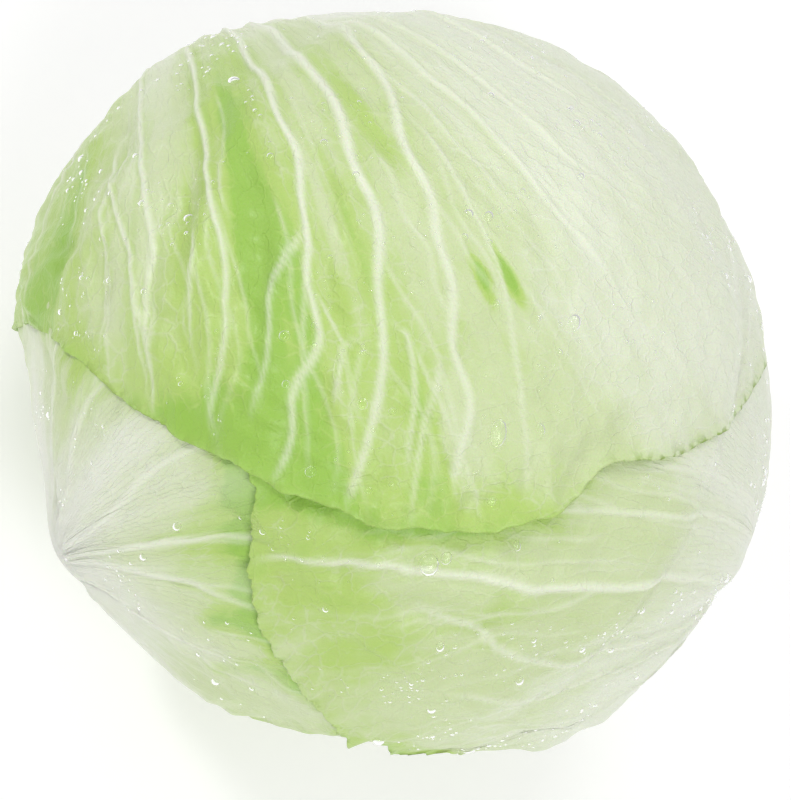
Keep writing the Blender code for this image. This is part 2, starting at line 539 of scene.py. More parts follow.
    def relief(self, made: Surface, across: Numbers, along: Numbers) -> Numbers:
        """Veins, folds, puckers and the lifted margin, with the traits that go with them.

        The formula of a vein is height times exp(-(distance / width) squared), with a shallow trough
        of a few times that width beside it. The distance is the difference in turn times the
        surface's millimetres per degree, shortened where the vein slants.

        Args:
            made: The leaf's outside. Its traits are filled in.
            across: Millimetres for each degree of turn.
            along: Millimetres for the whole share.

        Returns:
            The height to add to the radius.
        """
        shares = made.share[:, :1]
        ridge = np.zeros_like(made.share)
        crest, halo = np.zeros_like(ridge), np.zeros_like(ridge)
        for vein in (*self.veins, *self.grown_veins()):
            path, fade = vein.turn_at(shares), vein.fade_at(shares)
            slant = np.gradient(path[:, 0], shares[:, 0])[:, None] * across / along
            away = turn_between(made.turn, path) * across / np.sqrt(1.0 + slant**2)
            width = np.maximum(self.LEAST_WIDTH, 0.72 * vein.width * (0.35 + 0.65 * fade))
            width = width * np.minimum(1.0 + self.SLANT_SWELL * np.abs(slant), 1.8)
            broad = np.exp(-((away / (self.TROUGH_REACH * width)) ** 2)) * fade
            body = np.exp(-((away / width) ** 2)) * fade
            ridge += vein.height * (body - self.TROUGH_DEPTH * broad)
            bold = min(1.0, 0.12 + 0.95 * vein.height)
            core = np.exp(-((np.abs(away) / (1.05 * width)) ** 2.6))
            crest = np.maximum(crest, bold * core * np.minimum(1.0, 1.5 * fade))
            halo = np.maximum(halo, bold * broad)
        for crease in self.creases:
            first, last = crease.path[0][0], crease.path[-1][0]
            path = np.interp(shares, *zip(*crease.path))
            away = turn_between(made.turn, path) * across
            ends = smooth_step((shares - first) / 0.2) * smooth_step((last + 0.1 - shares) / 0.1)
            ridge += crease.height * ends * np.exp(-np.abs(away) / crease.reach)
        run = made.share * along
        calm = smooth_step((run - 12.0) / 50.0)
        x, y = run * np.cos(np.radians(made.turn)), run * np.sin(np.radians(made.turn)) * 1.6
        seed = 11 * self.number
        pucker = 0.34 * waves(x, y, 26.0, seed) + 0.22 * waves(x, y, 10.0, seed + 7)
        rim = np.exp(-made.from_margin / self.RIM_REACH)
        lift = np.interp(made.turn, *zip(*self.lift)) * rim
        frill = waves(made.turn * 1.4, np.zeros_like(x), 9.0, 5 + self.number)
        ruffle = 0.35 * np.maximum(frill, -0.6) * rim
        made.traits = self.traits(made, crest, halo, run)
        pucker *= 0.45 + 0.75 * smooth_step(made.traits["green"] / 0.7)
        return ridge * smooth_step(run / 20.0) + calm * (pucker + ruffle) + lift

    def traits(self, made: Surface, crest: Numbers, halo: Numbers, run: Numbers) -> dict[str, Numbers]:
        """The values that the finish reads at each place.

        Args:
            made: The leaf's outside.
            crest: 1 on the crest of a vein.
            halo: 1 on a vein, fading slowly to either side.
            run: Millimetres from the hub.

        Returns:
            vein, halo, rib, green, edge and torn from 0 to 1, and fan and run, which follow the veins.
        """
        rib = self.rib(made.fall, made.bearing) / self.RIB_HEIGHT
        streak = 1.0 + 0.35 * waves(made.turn, np.zeros_like(run), 13.0, 300 + self.number)
        white = np.exp(-((run / (self.WHITE_REACH * streak.clip(0.45, 1.8))) ** 1.6))
        green = np.interp(made.turn, *zip(*self.green))
        green += sum(patch.over(made.share, made.turn) for patch in self.patches)
        green *= smooth_step((run - self.bloom[0]) / self.bloom[1])
        green += np.interp(made.turn, *zip(*self.border)) * np.exp(-made.from_margin / self.BORDER_REACH)
        # Painted shade: each leaf above lays a thin dark-green line along its edge and a broader shade beside
        # it, added to the green.
        for other in self.above:
            past = np.abs(made.fall - other.torn_margin(made.bearing)) * math.radians(made.radius.mean())
            shade_strength = np.interp(made.bearing, *zip(*other.cast_shade), period=360.0)
            line, shade = (np.exp(-((past / reach) ** 2)) for reach in (self.SHADE_LINE_REACH, self.SHADE_BROAD_REACH))
            green += shade_strength * (0.45 * line + 0.3 * shade)
        edge = np.exp(-made.from_margin / self.EDGE_REACH)
        return {
            "vein": crest,
            "halo": halo,
            "rib": np.clip(np.maximum(rib, white), 0.0, 1.0),
            "green": green,
            "edge": edge,
            "torn": edge * np.interp(made.turn, *zip(*self.torn)),
            "fan": made.turn / 2.0,
            "run": run / 10.0,
        }

    def grown_veins(self) -> list[Vein]:
        """The smaller veins: branches that leave the main ones, and fine ones between them.

        Returns:
            The veins. A leaf without veins of its own gets its main ones here too.
        """
        draw = np.random.default_rng(40 + self.number)
        mains = self.veins
        grown: list[Vein] = []
        if not mains:
            turns = np.arange(-70.0, 71.0, 8.5) + draw.uniform(-2.0, 2.0, 17)
            mains = tuple(Vein(((0.12, turn), (0.97, turn * 0.9)), 1.0, 0.6, 0.5) for turn in turns)
            grown.extend(mains)
        for main in mains:
            first, last = main.path[0][0], main.path[-1][0]
            low = max(first, self.BRANCH_START)
            root = low + draw.uniform() * max(last - 0.12 - low, 0.02)
            side = draw.choice((-1.0, 1.0))
            start = float(np.interp(root, *zip(*main.path)))
            end = min(root + draw.uniform(0.12, 0.3), 0.985)
            swing = draw.uniform(1.2, 2.6)
            elbow = (root + 0.4 * (end - root), start + side * swing * 0.7)
            path = ((root, start), elbow, (end, start + side * swing))
            grown.append(Vein(path, 0.6, draw.uniform(0.16, 0.32), 0.3, 0.3))
        for turn in np.arange(-66.0, 67.0, 3.1):
            start = draw.uniform(0.35, 0.7)
            end = min(start + draw.uniform(0.2, 0.45), 0.98)
            path = ((start, turn), (end, turn + draw.uniform(-1.5, 1.5)))
            grown.append(Vein(path, 0.5, draw.uniform(0.08, 0.2), 0.5, 0.4))
        return grown

    def build(self, finish: bpy.types.Material) -> tuple[bpy.types.Object, Surface]:
        """Makes the leaf's closed shell: the outside, the margin's edge, and a plain inside.

        Args:
            finish: The leaf's material.

        Returns:
            The object, and its outside.
        """
        made = self.surface()
        outer = made.points()
        inner_rows = np.searchsorted(made.share[:, 0], self.INSIDE)
        thin = 0.65 + 0.5 * smooth_step(made.from_margin[inner_rows] / self.THIN_REACH)
        inner_radius = np.minimum(
            made.radius[inner_rows] - thin,
            self.bed(made.fall[inner_rows], made.bearing[inner_rows]) + FORM.gap + 0.2,
        )
        inner = FORM.place(inner_radius, made.fall[inner_rows], made.bearing[inner_rows])
        hub_bed = float(self.bed(np.array(self.HUB_FALL), np.array(self.bearing)))
        hub_rise = FORM.gap + FORM.blade + self.RIB_HEIGHT
        poles = FORM.place(
            hub_bed + np.array([hub_rise, FORM.gap]), np.full(2, self.HUB_FALL), np.full(2, self.bearing)
        )
        traits = {
            name: np.concatenate((value.ravel(), value[inner_rows].ravel(), value[0, :1], value[0, :1]))
            for name, value in made.traits.items()
        }
        rows = np.concatenate((outer, inner))
        return Shell.closed(f"leaf_{self.number}_finished", rows, poles, traits, finish), made


class Shell:
    """Turns grids of points into mesh objects."""

    @staticmethod
    def closed(
        name: str, rows: Numbers, poles: Numbers, traits: dict[str, Numbers], finish: bpy.types.Material
    ) -> bpy.types.Object:
        """A closed shell from rings of points, with a pole inside the first ring and the last.

        Args:
            name: The object's name.
            rows: Rings by spokes of points, from round the first pole to round the second.
            poles: The two poles.
            traits: One value for each point, the poles last.
            finish: The material.

        Returns:
            The object, with its faces outwards.
        """
        count, spokes = rows.shape[:2]
        points = np.concatenate((rows.reshape(-1, 3), poles))
        near = np.arange(spokes)
        beside = np.roll(near, -1)
        ring = np.arange(count - 1)[:, None] * spokes
        quads = np.stack((ring + near, ring + spokes + near, ring + spokes + beside, ring + beside), axis=-1)
        last = (count - 1) * spokes
        start = np.stack((np.full(spokes, count * spokes), near, beside), axis=-1)
        end = np.stack((np.full(spokes, count * spokes + 1), last + beside, last + near), axis=-1)
        faces = [*quads.reshape(-1, 4).tolist(), *start.tolist(), *end.tolist()]
        return Shell.raw(name, points, faces, traits, finish)

    @staticmethod
    def raw(
        name: str, points: Numbers, faces: list, traits: dict[str, Numbers], finish: bpy.types.Material
    ) -> bpy.types.Object:
        """A smooth mesh object with one float attribute for each trait.

        Args:
            name: The object's name.
            points: Its points in metres.
            faces: The point numbers of each face.
            traits: One value for each point.
            finish: The material.

        Returns:
            The object.
        """
        mesh = bpy.data.meshes.new(name)
        mesh.from_pydata(points.tolist(), [], faces)
        mesh.shade_smooth()
        for trait, values in traits.items():
            layer = mesh.attributes.new(trait, "FLOAT", "POINT")
            layer.data.foreach_set("value", np.ascontiguousarray(values, np.float32))
        mesh.materials.append(finish)
        mesh.validate()
        made = bpy.data.objects.new(name, mesh)
        bpy.context.scene.collection.objects.link(made)
        return made


@dataclass
class Stem:
    """The cut stem: its profile is carried round the upright axis, and its cut face is fibrous.

    Attributes:
        profile: (radius, height) in millimetres, from the cut edge up to the tip.
        cut_radius: Radius of the flat cut face.
        ring_radius: Radius of the ring of fibres on it.
        tip: Height of the tip.
        spokes: Points round it.
    """

    profile: tuple[Point, ...] = (
        (19.6, 1.0), (18.0, 6.0), (15.6, 14.5), (14.0, 24.0), (11.0, 42.0), (6.5, 55.0), (2.5, 59.0),
    )
    cut_radius: float = 18.8
    ring_radius: float = 12.5
    tip: float = 59.8
    spokes: int = 160

    def build(self, finish: bpy.types.Material) -> bpy.types.Object:
        """Makes the stem from the middle of its cut face, out and up to its tip.

        The formula of the furrows multiplies the radius by 1 plus a gentle wave round the stem, which
        comes in above the cut edge.

        Args:
            finish: The stem's material.

        Returns:
            The object.
        """
        face = [(self.cut_radius * share, 0.0) for share in np.linspace(0.03, 1.0, 26)]
        sides = np.array(self.profile)
        place = np.arange(len(sides))
        fine = np.linspace(0.0, place[-1], 46)
        radius = np.concatenate(([p[0] for p in face], np.interp(fine, place, sides[:, 0])))
        height = np.concatenate(([p[1] for p in face], np.interp(fine, place, sides[:, 1])))
        angle = np.linspace(0.0, math.tau, self.spokes, endpoint=False)
        grid_radius, grid_angle = np.meshgrid(radius, angle, indexing="ij")
        grid_height = np.repeat(height[:, None], self.spokes, axis=1)
        cut = np.repeat((np.arange(len(radius)) < len(face))[:, None], self.spokes, axis=1)
        x, y = grid_radius * np.cos(grid_angle), grid_radius * np.sin(grid_angle)
        ring = np.exp(-(((grid_radius - self.ring_radius) / 0.7) ** 2))
        fibre = 0.12 * np.abs(waves(x, y, 2.2, 71)) + 0.2 * ring
        grid_height = grid_height + np.where(cut, fibre * (grid_radius < self.cut_radius - 0.8), 0.0)
        furrow = np.where(cut, 0.0, 0.25 * (waves(grid_angle * 9.0, grid_height * 0.12, 4.0, 72) - 0.8))
        squeeze = 1.0 + furrow * smooth_step((grid_height - 1.0) / 4.0) / np.maximum(grid_radius, 4.0)
        rows = MM * np.stack((x * squeeze, y * squeeze, grid_height), axis=-1)
        poles = MM * np.array([[0.0, 0.0, 0.1], [0.0, 0.0, self.tip]])
        stain = np.exp(-(((grid_radius - self.ring_radius) / 1.6) ** 2)) * cut
        traits = {
            "cut": np.append(cut.ravel().astype(float), (1.0, 0.0)),
            "ring": np.append(stain.ravel(), (0.0, 0.0)),
        }
        return Shell.closed("stem_finished", rows, poles, traits, finish)


@dataclass
class Dew:
    """Drops of water that cling to the leaves.

    Attributes:
        rings: Rings of points on one drop.
        spokes: Points round one drop.
        contact: How upright a drop's side is where it meets the leaf, in degrees.
    """

    rings: int = 4
    spokes: int = 10
    contact: float = 82.0

    SUNK = 0.22  # radii that a drop reaches into the leaf
    FLATNESS = 0.85  # its height as a share of a round one's
    LOWEST_FALL = 100.0
    MARGIN_FREE = 2.5  # millimetres of margin without drops
    COVER_FREE = 3.0  # degrees beside the edge above without drops
    RADII = (0.12, 1.7)
    STRETCHES = (0.9, 1.6)

    def drop(self) -> tuple[Numbers, list[list[int]]]:
        """One drop of radius 1 on the plane: a cap of a sphere, closed a little below the plane.

        Returns:
            Its points and its faces.
        """
        edge = math.radians(self.contact)
        lean = np.linspace(edge, 0.0, self.rings + 1)[:-1]
        radius = np.concatenate(([0.9], np.sin(lean) / math.sin(edge)))
        height = np.concatenate(([-self.SUNK], (np.cos(lean) - math.cos(edge)) / math.sin(edge)))
        angle = np.linspace(0.0, math.tau, self.spokes, endpoint=False)
        rows = np.stack(
            [np.outer(radius, np.cos(angle)), np.outer(radius, np.sin(angle)),
             np.outer(height, np.ones_like(angle))], axis=-1,
        )
        top = (1.0 - math.cos(edge)) / math.sin(edge)
        points = np.concatenate((rows.reshape(-1, 3), [[0.0, 0.0, -self.SUNK], [0.0, 0.0, top]]))
        near = np.arange(self.spokes)
        beside = np.roll(near, -1)
        ring = np.arange(self.rings)[:, None] * self.spokes
        above = ring + self.spokes
        quads = np.stack((ring + near, ring + beside, above + beside, above + near), axis=-1)
        last = self.rings * self.spokes
        foot = np.stack((np.full(self.spokes, last + self.spokes), beside, near), axis=-1)
        cap = np.stack((np.full(self.spokes, last + self.spokes + 1), last + near, last + beside), axis=-1)
        return points, [*quads.reshape(-1, 4).tolist(), *foot.tolist(), *cap.tolist()]

    def sow(self, leaf: Leaf, made: Surface, over: list[Leaf], count: int, seed: int) -> Numbers:
        """Picks places for drops where the leaf shows.

        Args:
            leaf: The leaf that they cling to. Not used.
            made: Its outside.
            over: The leaves that may cover it.
            count: How many to try.
            seed: Picks the places.

        Returns:
            One row for each drop: its place in metres, outward direction, radius in millimetres and
            stretch.
        """
        draw = np.random.default_rng(seed)
        points, normals = made.points(), made.normals()
        spacing = np.linalg.norm(np.cross(np.gradient(points, axis=0), np.gradient(points, axis=1)), axis=-1)
        x, y = made.fall * np.cos(np.radians(made.bearing)), made.fall * np.sin(np.radians(made.bearing))
        crowd = np.clip(0.5 + 0.75 * waves(x, y, 24.0, seed + 1), 0.03, 3.0) ** 1.6
        shown = (made.fall < self.LOWEST_FALL) & (made.from_margin > self.MARGIN_FREE)
        for other in over:
            shown &= made.fall > other.margin(made.bearing) + self.COVER_FREE
        weight = (spacing * crowd * shown).ravel()
        if weight.sum() <= 0.0:
            return np.zeros((0, 8))
        picked = draw.choice(weight.size, count, replace=False, p=weight / weight.sum())
        radius = np.clip(np.exp(draw.normal(-1.3, 0.48, count)), *self.RADII)
        stretch = np.clip(draw.normal(1.08, 0.14, count), *self.STRETCHES)
        place, normal = points.reshape(-1, 3)[picked], normals.reshape(-1, 3)[picked]
        return np.concatenate((place, normal, radius[:, None], stretch[:, None]), axis=1)

    def at(self, made: Surface, share: float, turn: float, radius: float, stretch: float = 1.1) -> Numbers:
        """One drop at a chosen place on a leaf.

        Args:
            made: The leaf's outside.
            share: Share of the way from the hub to the margin.
            turn: Degrees from the way over the crown.
            radius: Radius of the drop in millimetres.
            stretch: How much longer it is than wide.

        Returns:
            A row like those of sow.
        """
        gap = ((made.share - share) * 100.0) ** 2 + (turn_between(made.turn, turn)) ** 2
        row, spoke = np.unravel_index(np.argmin(gap), gap.shape)
        return np.concatenate((made.points()[row, spoke], made.normals()[row, spoke], [radius, stretch]))

    def build(self, name: str, rows: Numbers, finish: bpy.types.Material) -> bpy.types.Object:
        """Makes all the drops as one piece. Each is turned to stand on its leaf, stretched downhill.

        Args:
            name: The piece's name.
            rows: The drops, as sow gives them.
            finish: The water.

        Returns:
            The object.
        """
        unit, faces = self.drop()
        place, normal, radius, stretch = rows[:, :3], rows[:, 3:6], rows[:, 6], rows[:, 7]
        downhill = np.cross(normal, np.cross(normal, [0.0, 0.0, 1.0]) + np.array([1e-6, 0.0, 0.0]))
        downhill /= np.linalg.norm(downhill, axis=1, keepdims=True)
        side = np.cross(downhill, normal)
        size = (radius * MM)[:, None, None]
        points = place[:, None, :] + size * (
            unit[None, :, 0:1] * (stretch[:, None] * downhill)[:, None, :]
            + unit[None, :, 1:2] * side[:, None, :]
            + unit[None, :, 2:3] * self.FLATNESS * normal[:, None, :]
        )
        starts = range(0, len(points) * len(unit), len(unit))
        all_faces = [[index + start for index in face] for start in starts for face in faces]
        return Shell.raw(name, points.reshape(-1, 3), all_faces, {}, finish)


class Wiring:
    """Adds shader nodes to a tree and links them."""

    def __init__(self, tree: bpy.types.NodeTree) -> None:
        """Starts on an empty tree."""
        self.tree = tree
        tree.nodes.clear()

    def add(self, kind: str, **settings: object) -> bpy.types.Node:
        """Adds a node and sets its properties.

        Args:
            kind: The type of the node.
            settings: Its properties by name.

        Returns:
            The node.
        """
        node = self.tree.nodes.new(kind)
        for name, value in settings.items():
            setattr(node, name, value)
        return node

    def put(self, socket: bpy.types.NodeSocket, value: object) -> None:
        """Links a socket to another, or sets its value.

        Args:
            socket: The input to fill.
            value: An output to link, or a plain value.
        """
        if isinstance(value, bpy.types.NodeSocket):
            self.tree.links.new(value, socket)
        else:
            socket.default_value = value

    def math(self, operation: str, *values: object, clamp: bool = False) -> bpy.types.NodeSocket:
        """One sum of a Math node.

        Args:
            operation: The kind of sum.
            values: What goes in.
            clamp: Whether to hold the result between 0 and 1.

        Returns:
            The result.
        """
        node = self.add("ShaderNodeMath", operation=operation, use_clamp=clamp)
        for socket, value in zip(node.inputs, values):
            self.put(socket, value)
        return node.outputs[0]

    def mix(self, share: object, first: object, second: object) -> bpy.types.NodeSocket:
        """The first colour, and the second in its place as the share goes from 0 to 1.

        Args:
            share: Share of the second colour.
            first: The first colour.
            second: The second colour.

        Returns:
            The mixed colour.
        """
        node = self.add("ShaderNodeMix", data_type="RGBA", clamp_factor=True)
        for name, value in (("Factor_Float", share), ("A_Color", first), ("B_Color", second)):
            socket = next(item for item in node.inputs if item.identifier == name)
            self.put(socket, value)
        return next(item for item in node.outputs if item.identifier == "Result_Color")

    def ramp(self, value: object, *stops: tuple[float, Colour]) -> bpy.types.NodeSocket:
        """A colour read from a row of stops.

        Args:
            value: Where to read it.
            stops: Each place with its colour.

        Returns:
            The colour.
        """
        node = self.add("ShaderNodeValToRGB")
        node.color_ramp.interpolation = "EASE"
        while len(node.color_ramp.elements) < len(stops):
            node.color_ramp.elements.new(0.5)
        for element, (place, colour) in zip(node.color_ramp.elements, stops):
            element.position, element.color = place, colour
        self.put(node.inputs[0], value)
        return node.outputs[0]

    def span(self, value: object, low: float, high: float) -> bpy.types.NodeSocket:
        """0 up to the low value, 1 from the high one, and a smooth step between.

        Args:
            value: What is measured.
            low: Where the step starts.
            high: Where it ends.

        Returns:
            The step.
        """
        node = self.add("ShaderNodeMapRange", interpolation_type="SMOOTHSTEP")
        for socket, item in zip(node.inputs, (value, low, high, 0.0, 1.0)):
            self.put(socket, item)
        return node.outputs[0]

    def trait(self, name: str) -> bpy.types.NodeSocket:
        """A value that the mesh holds."""
        return self.add("ShaderNodeAttribute", attribute_type="GEOMETRY", attribute_name=name).outputs["Fac"]

    def noise(
        self, place: object, scale: float, detail: float = 3.0, rough: float = 0.55
    ) -> bpy.types.NodeSocket:
        """Soft noise from 0 to 1.

        Args:
            place: Where it is read.
            scale: How many waves fit in one unit.
            detail: How many times finer noise is added.
            rough: How strong the finer noise is.

        Returns:
            The noise.
        """
        node = self.add("ShaderNodeTexNoise")
        for name, value in (("Vector", place), ("Scale", scale), ("Detail", detail), ("Roughness", rough)):
            self.put(node.inputs[name], value)
        return node.outputs["Fac"]

    def vector(self, *values: object) -> bpy.types.NodeSocket:
        """A place from its coordinates.

        Args:
            values: The coordinates.

        Returns:
            The place.
        """
        node = self.add("ShaderNodeCombineXYZ")
        for socket, value in zip(node.inputs, values):
            self.put(socket, value)
        return node.outputs[0]

    @staticmethod
    def group(name: str, inputs: tuple[str, ...], outputs: tuple[str, ...]) -> "tuple[Wiring, dict, dict]":
        """Starts a group of nodes with named sockets.

        Args:
            name: The group's name.
            inputs: Names of its inputs. One called Place is a vector.
            outputs: Names of its outputs, all values.

        Returns:
            The wiring inside it, its inputs as sockets to read, and its outputs as sockets to fill.
        """
        tree = bpy.data.node_groups.new(name, "ShaderNodeTree")
        for label in inputs:
            kind = "NodeSocketVector" if label == "Place" else "NodeSocketFloat"
            tree.interface.new_socket(label, in_out="INPUT", socket_type=kind)
        for label in outputs:
            tree.interface.new_socket(label, in_out="OUTPUT", socket_type="NodeSocketFloat")
        inside = Wiring(tree)
        start, end = inside.add("NodeGroupInput"), inside.add("NodeGroupOutput")
        return inside, {n: start.outputs[n] for n in inputs}, {n: end.inputs[n] for n in outputs}

    @staticmethod
    def material(name: str) -> tuple[bpy.types.Material, "Wiring"]:
        """Makes an empty material.

        Args:
            name: Its name.

        Returns:
            The material and its wiring.
        """
        made = bpy.data.materials.new(name)
        made.use_nodes = True
        return made, Wiring(made.node_tree)

    def bump(self, height: object, distance: float, strength: float) -> bpy.types.NodeSocket:
        """A normal that is tilted by a height.

        Args:
            height: The height, in any unit.
            distance: Metres for one unit of it.
            strength: How much of the tilt is used.

        Returns:
            The normal.
        """
        node = self.add("ShaderNodeBump")
        for socket, value in (("Height", height), ("Distance", distance), ("Strength", strength)):
            self.put(node.inputs[socket], value)
        return node.outputs[0]

    def shade(self, *sockets: tuple[str, object]) -> None:
        """Adds the shader and the output.

        Args:
            sockets: The name of each socket to fill, and what goes in.
        """
        shader = self.add("ShaderNodeBsdfPrincipled")
        for socket, value in sockets:
            self.put(shader.inputs[socket], value)
        self.put(self.add("ShaderNodeOutputMaterial").inputs[0], shader.outputs[0])

    def use(self, name: str, **values: object) -> bpy.types.Node:
        """Places a group and fills its inputs.

        Args:
            name: The group's name.
            values: Its inputs by name.

        Returns:
            The node.
        """
        node = self.add("ShaderNodeGroup", node_tree=bpy.data.node_groups[name])
        for label, value in values.items():
            self.put(node.inputs[label], value)
        return node


class Effects:
    """The effects that several finishes share, each one a group of nodes."""

    @staticmethod
    def build() -> None:
        """Makes the three groups: streaks along the veins, the net of fine veins, and skin pores."""
        inside, given, out = Wiring.group("leaf_streaks", ("Fan", "Run"), ("Streak", "Mottle"))
        along = inside.vector(given["Fan"], inside.math("MULTIPLY", given["Run"], 0.22), 0.0)
        inside.put(out["Streak"], inside.noise(along, 0.55, 4.0, 0.6))
        place = inside.add("ShaderNodeTexCoord").outputs["Object"]
        inside.put(out["Mottle"], inside.noise(place, 62.0, 5.0, 0.6))

        inside, given, out = Wiring.group("vein_net", ("Fan", "Run", "Cells"), ("Line", "Rise"))
        place = inside.add("ShaderNodeTexCoord").outputs["Object"]
        bend = inside.noise(place, 210.0, 2.0)
        across = inside.math("MULTIPLY_ADD", bend, 0.9, given["Fan"])
        along = inside.math("MULTIPLY_ADD", bend, 0.7, inside.math("MULTIPLY", given["Run"], 1.25))
        cells = inside.add("ShaderNodeTexVoronoi", feature="DISTANCE_TO_EDGE", voronoi_dimensions="2D")
        inside.put(cells.inputs["Vector"], inside.vector(across, along, 0.0))
        inside.put(cells.inputs["Scale"], given["Cells"])
        line = inside.math("SUBTRACT", 1.0, inside.span(cells.outputs["Distance"], 0.0, 0.13))
        inside.put(out["Line"], line)
        inside.put(out["Rise"], inside.math("MULTIPLY", line, inside.math("MULTIPLY", bend, 1.4)))

        inside, given, out = Wiring.group("skin_pores", ("Place", "Size"), ("Rise",))
        fine = inside.noise(given["Place"], given["Size"], 3.0, 0.65)
        broad = inside.noise(given["Place"], 190.0, 2.0)
        inside.put(out["Rise"], inside.math("MULTIPLY_ADD", broad, 1.3, fine))


@dataclass(frozen=True)
class LeafFinish:
    """A leaf's waxy skin: green cells between pale veins, white towards the rib.

    Attributes:
        name: The material's name.
        white: Colour of the rib.
        pale: Colour where the leaf is least green.
        middle: Colour half way.
        fresh: Colour of the green parts.
        deep: Colour of the greenest streaks.
        vein: Colour of the veins.
        rim: Colour of the thin edge.
        brown: Colour of the spots where the edge is torn.
        cells: How many cells of the fine net lie side by side.
        roughness: Of the waxy skin.
    """

    name: str
    white: Colour = (0.84, 0.855, 0.765, 1.0)
    pale: Colour = (0.765, 0.81, 0.655, 1.0)
    middle: Colour = (0.60, 0.70, 0.385, 1.0)
    fresh: Colour = (0.46, 0.635, 0.165, 1.0)
    deep: Colour = (0.33, 0.56, 0.085, 1.0)
    vein: Colour = (0.80, 0.85, 0.67, 1.0)
    rim: Colour = (0.50, 0.68, 0.22, 1.0)
    brown: Colour = (0.24, 0.37, 0.04, 1.0)
    cells: float = 1.6
    roughness: float = 0.36

    def make(self) -> bpy.types.Material:
        """Makes the material.

        Returns:
            The material.
        """
        material, nodes = Wiring.material(self.name)
        fan, run = nodes.trait("fan"), nodes.trait("run")
        streaks = nodes.use("leaf_streaks", Fan=fan, Run=run)
        net = nodes.use("vein_net", Fan=fan, Run=run, Cells=self.cells)
        place = nodes.add("ShaderNodeTexCoord").outputs["Object"]
        pores = nodes.use("skin_pores", Place=place, Size=1500.0)
        streak = nodes.math("SUBTRACT", streaks.outputs["Streak"], 0.5)
        mottle = nodes.math("SUBTRACT", streaks.outputs["Mottle"], 0.5)
        green = nodes.trait("green")
        swing = nodes.math("MULTIPLY", nodes.math("ADD", green, 0.25), 0.9)
        varied = nodes.math("MULTIPLY_ADD", streak, swing, green)
        varied = nodes.math("MULTIPLY_ADD", mottle, nodes.math("MULTIPLY", swing, 0.7), varied)
        lighter = nodes.math("MULTIPLY", net.outputs["Line"], nodes.math("MULTIPLY", swing, -0.1))
        varied = nodes.math("ADD", varied, lighter)
        # Painted shade: greener beside each vein, where its shallow trough lies, and not on its crest.
        trough_shade = nodes.math("SUBTRACT", nodes.trait("halo"), nodes.trait("vein"))
        varied = nodes.math("MULTIPLY_ADD", trough_shade, nodes.math("MULTIPLY", swing, 0.3), varied)
        colour = nodes.ramp(
            varied, (0.0, self.pale), (0.34, self.middle), (0.62, self.fresh), (0.93, self.deep)
        )
        halo = nodes.math("MULTIPLY", nodes.trait("halo"), 0.1)
        colour = nodes.mix(halo, colour, self.vein)
        crest = nodes.math("MULTIPLY", nodes.trait("vein"), 0.95, clamp=True)
        colour = nodes.mix(crest, colour, self.vein)
        colour = nodes.mix(nodes.math("MULTIPLY", nodes.trait("rib"), 0.92), colour, self.white)
        colour = nodes.mix(nodes.math("MULTIPLY", nodes.trait("edge"), 0.35), colour, self.rim)
        spots = nodes.span(nodes.noise(place, 420.0, 2.0), 0.48, 0.62)
        spots = nodes.math("MULTIPLY", spots, nodes.trait("torn"))
        colour = nodes.mix(nodes.math("MULTIPLY", spots, 1.6, clamp=True), colour, self.brown)
        waxy = nodes.math("MULTIPLY_ADD", streaks.outputs["Mottle"], 0.16, self.roughness - 0.08)
        rise = nodes.math("MULTIPLY_ADD", net.outputs["Rise"], 0.55, pores.outputs["Rise"])
        nodes.shade(
            ("Base Color", colour),
            ("Roughness", waxy),
            ("Normal", nodes.bump(rise, 0.0003, 0.7)),
            ("IOR", 1.42),
            ("Subsurface Weight", 0.12),
            ("Subsurface Radius", (0.6, 1.0, 0.3)),
            ("Subsurface Scale", 0.0016),
            ("Coat Weight", 0.12),
            ("Coat Roughness", 0.22),
        )
        return material


@dataclass(frozen=True)
class FleshFinish:
    """The heart's packed leaves and the stem: pale flesh, fibrous where it is cut.

    Attributes:
        name: The material's name.
        flesh: Its colour.
        shade: Colour of its darker parts.
        brown: Colour of a dried cut.
        cut: How much of the cut face's trait is used, which only the stem holds.
    """

    name: str
    flesh: Colour = (0.83, 0.845, 0.68, 1.0)
    shade: Colour = (0.66, 0.72, 0.42, 1.0)
    brown: Colour = (0.50, 0.40, 0.22, 1.0)
    cut: float = 0.0

    def make(self) -> bpy.types.Material:
        """Makes the material.

        Returns:
            The material.
        """
        material, nodes = Wiring.material(self.name)
        place = nodes.add("ShaderNodeTexCoord").outputs["Object"]
        broad = nodes.span(nodes.noise(place, 60.0, 5.0), 0.35, 0.7)
        colour = nodes.mix(broad, self.flesh, self.shade)
        pores = nodes.use("skin_pores", Place=place, Size=900.0)
        if self.cut:
            stain = nodes.span(nodes.noise(place, 240.0, 6.0, 0.7), 0.38, 0.66)
            ringed = nodes.math("MULTIPLY_ADD", nodes.trait("ring"), 0.6, nodes.math("MULTIPLY", stain, 0.45))
            share = nodes.math("MULTIPLY", nodes.trait("cut"), ringed)
            colour = nodes.mix(nodes.math("MULTIPLY", share, self.cut), colour, self.brown)
        nodes.shade(
            ("Base Color", colour),
            ("Roughness", nodes.math("MULTIPLY_ADD", broad, 0.15, 0.45)),
            ("Normal", nodes.bump(pores.outputs["Rise"], 0.0004, 0.5)),
        )
        return material


@dataclass(frozen=True)
class WaterFinish:
    """Clear water.

    Attributes:
        name: The material's name.
        tint: Colour of the light that it lets through.
        bending: How much it bends light.
        roughness: Of its surface.
    """

    name: str = "water"
    tint: Colour = (0.97, 1.0, 0.95, 1.0)
    bending: float = 1.333
    roughness: float = 0.03

    def make(self) -> bpy.types.Material:
        """Makes the material.

        Returns:
            The material.
        """
        material, nodes = Wiring.material(self.name)
        nodes.shade(
            ("Base Color", self.tint),
            ("Roughness", self.roughness),
            ("IOR", self.bending),
            ("Transmission Weight", 1.0),
        )
        return material


